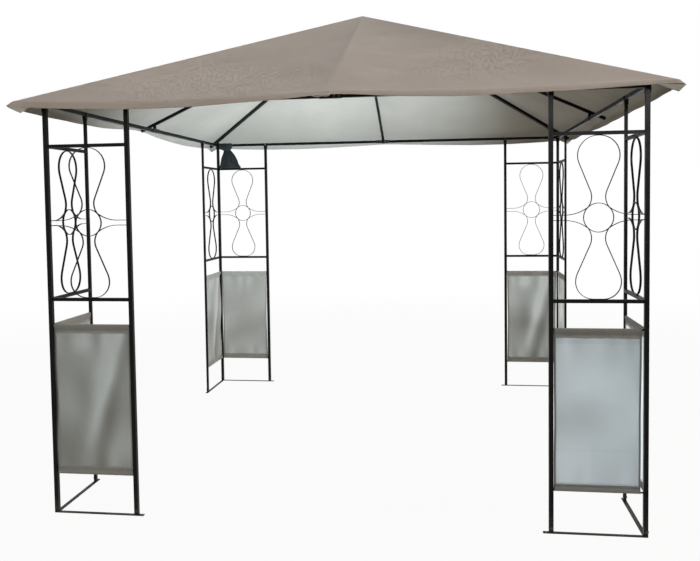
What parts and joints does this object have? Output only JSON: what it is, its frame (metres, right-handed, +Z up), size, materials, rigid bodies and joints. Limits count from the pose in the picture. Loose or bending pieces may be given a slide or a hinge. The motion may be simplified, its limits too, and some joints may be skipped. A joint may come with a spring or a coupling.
{
  "type": "garden gazebo",
  "caption": "Square metal garden gazebo with a pyramid fabric canopy, corner legs of paired lattice panels with scrollwork, and cloth infill panels.",
  "frame": {"origin": "middle of the square footprint, on the ground", "axes": "+Z up, -Y out of the front opening, +X to the right seen from the front"},
  "size_m": [3.0186, 3.0186, 2.6978],
  "materials": {
    "frame": "powder coat, fine satin texture",
    "canopy_cloth": "woven polyester, matt",
    "panel_cloth": "thin woven polyester, matt",
    "bag_cloth": "woven nylon, slight sheen"
  },
  "bodies": {
    "root": {"front_left_posts": "frame", "front_left_cross_bars": "frame", "front_left_foot_strip": "frame", "front_left_front_scrollwork": "frame", "front_left_left_scrollwork": "frame", "front_left_front_cloth": "panel_cloth", "front_left_left_cloth": "panel_cloth", "front_right_posts": "frame", "front_right_cross_bars": "frame", "front_right_foot_strip": "frame", "front_right_front_scrollwork": "frame", "front_right_right_scrollwork": "frame", "front_right_front_cloth": "panel_cloth", "front_right_right_cloth": "panel_cloth", "back_left_posts": "frame", "back_left_cross_bars": "frame", "back_left_foot_strip": "frame", "back_left_back_scrollwork": "frame", "back_left_left_scrollwork": "frame", "back_left_back_cloth": "panel_cloth", "back_left_left_cloth": "panel_cloth", "back_right_posts": "frame", "back_right_cross_bars": "frame", "back_right_foot_strip": "frame", "back_right_back_scrollwork": "frame", "back_right_right_scrollwork": "frame", "back_right_back_cloth": "panel_cloth", "back_right_right_cloth": "panel_cloth", "front_beam": "frame", "back_beam": "frame", "left_beam": "frame", "right_beam": "frame", "beam_joiners": "frame", "post_saddles": "frame", "corner_brackets": "frame", "hip_rafters": "frame", "mid_rafters": "frame", "apex_hub": "frame", "canopy_front": "canopy_cloth", "canopy_back": "canopy_cloth", "canopy_left": "canopy_cloth", "canopy_right": "canopy_cloth", "valance": "canopy_cloth", "corner_pockets": "canopy_cloth", "tied_bag": "bag_cloth"}
  },
  "joints": []
}
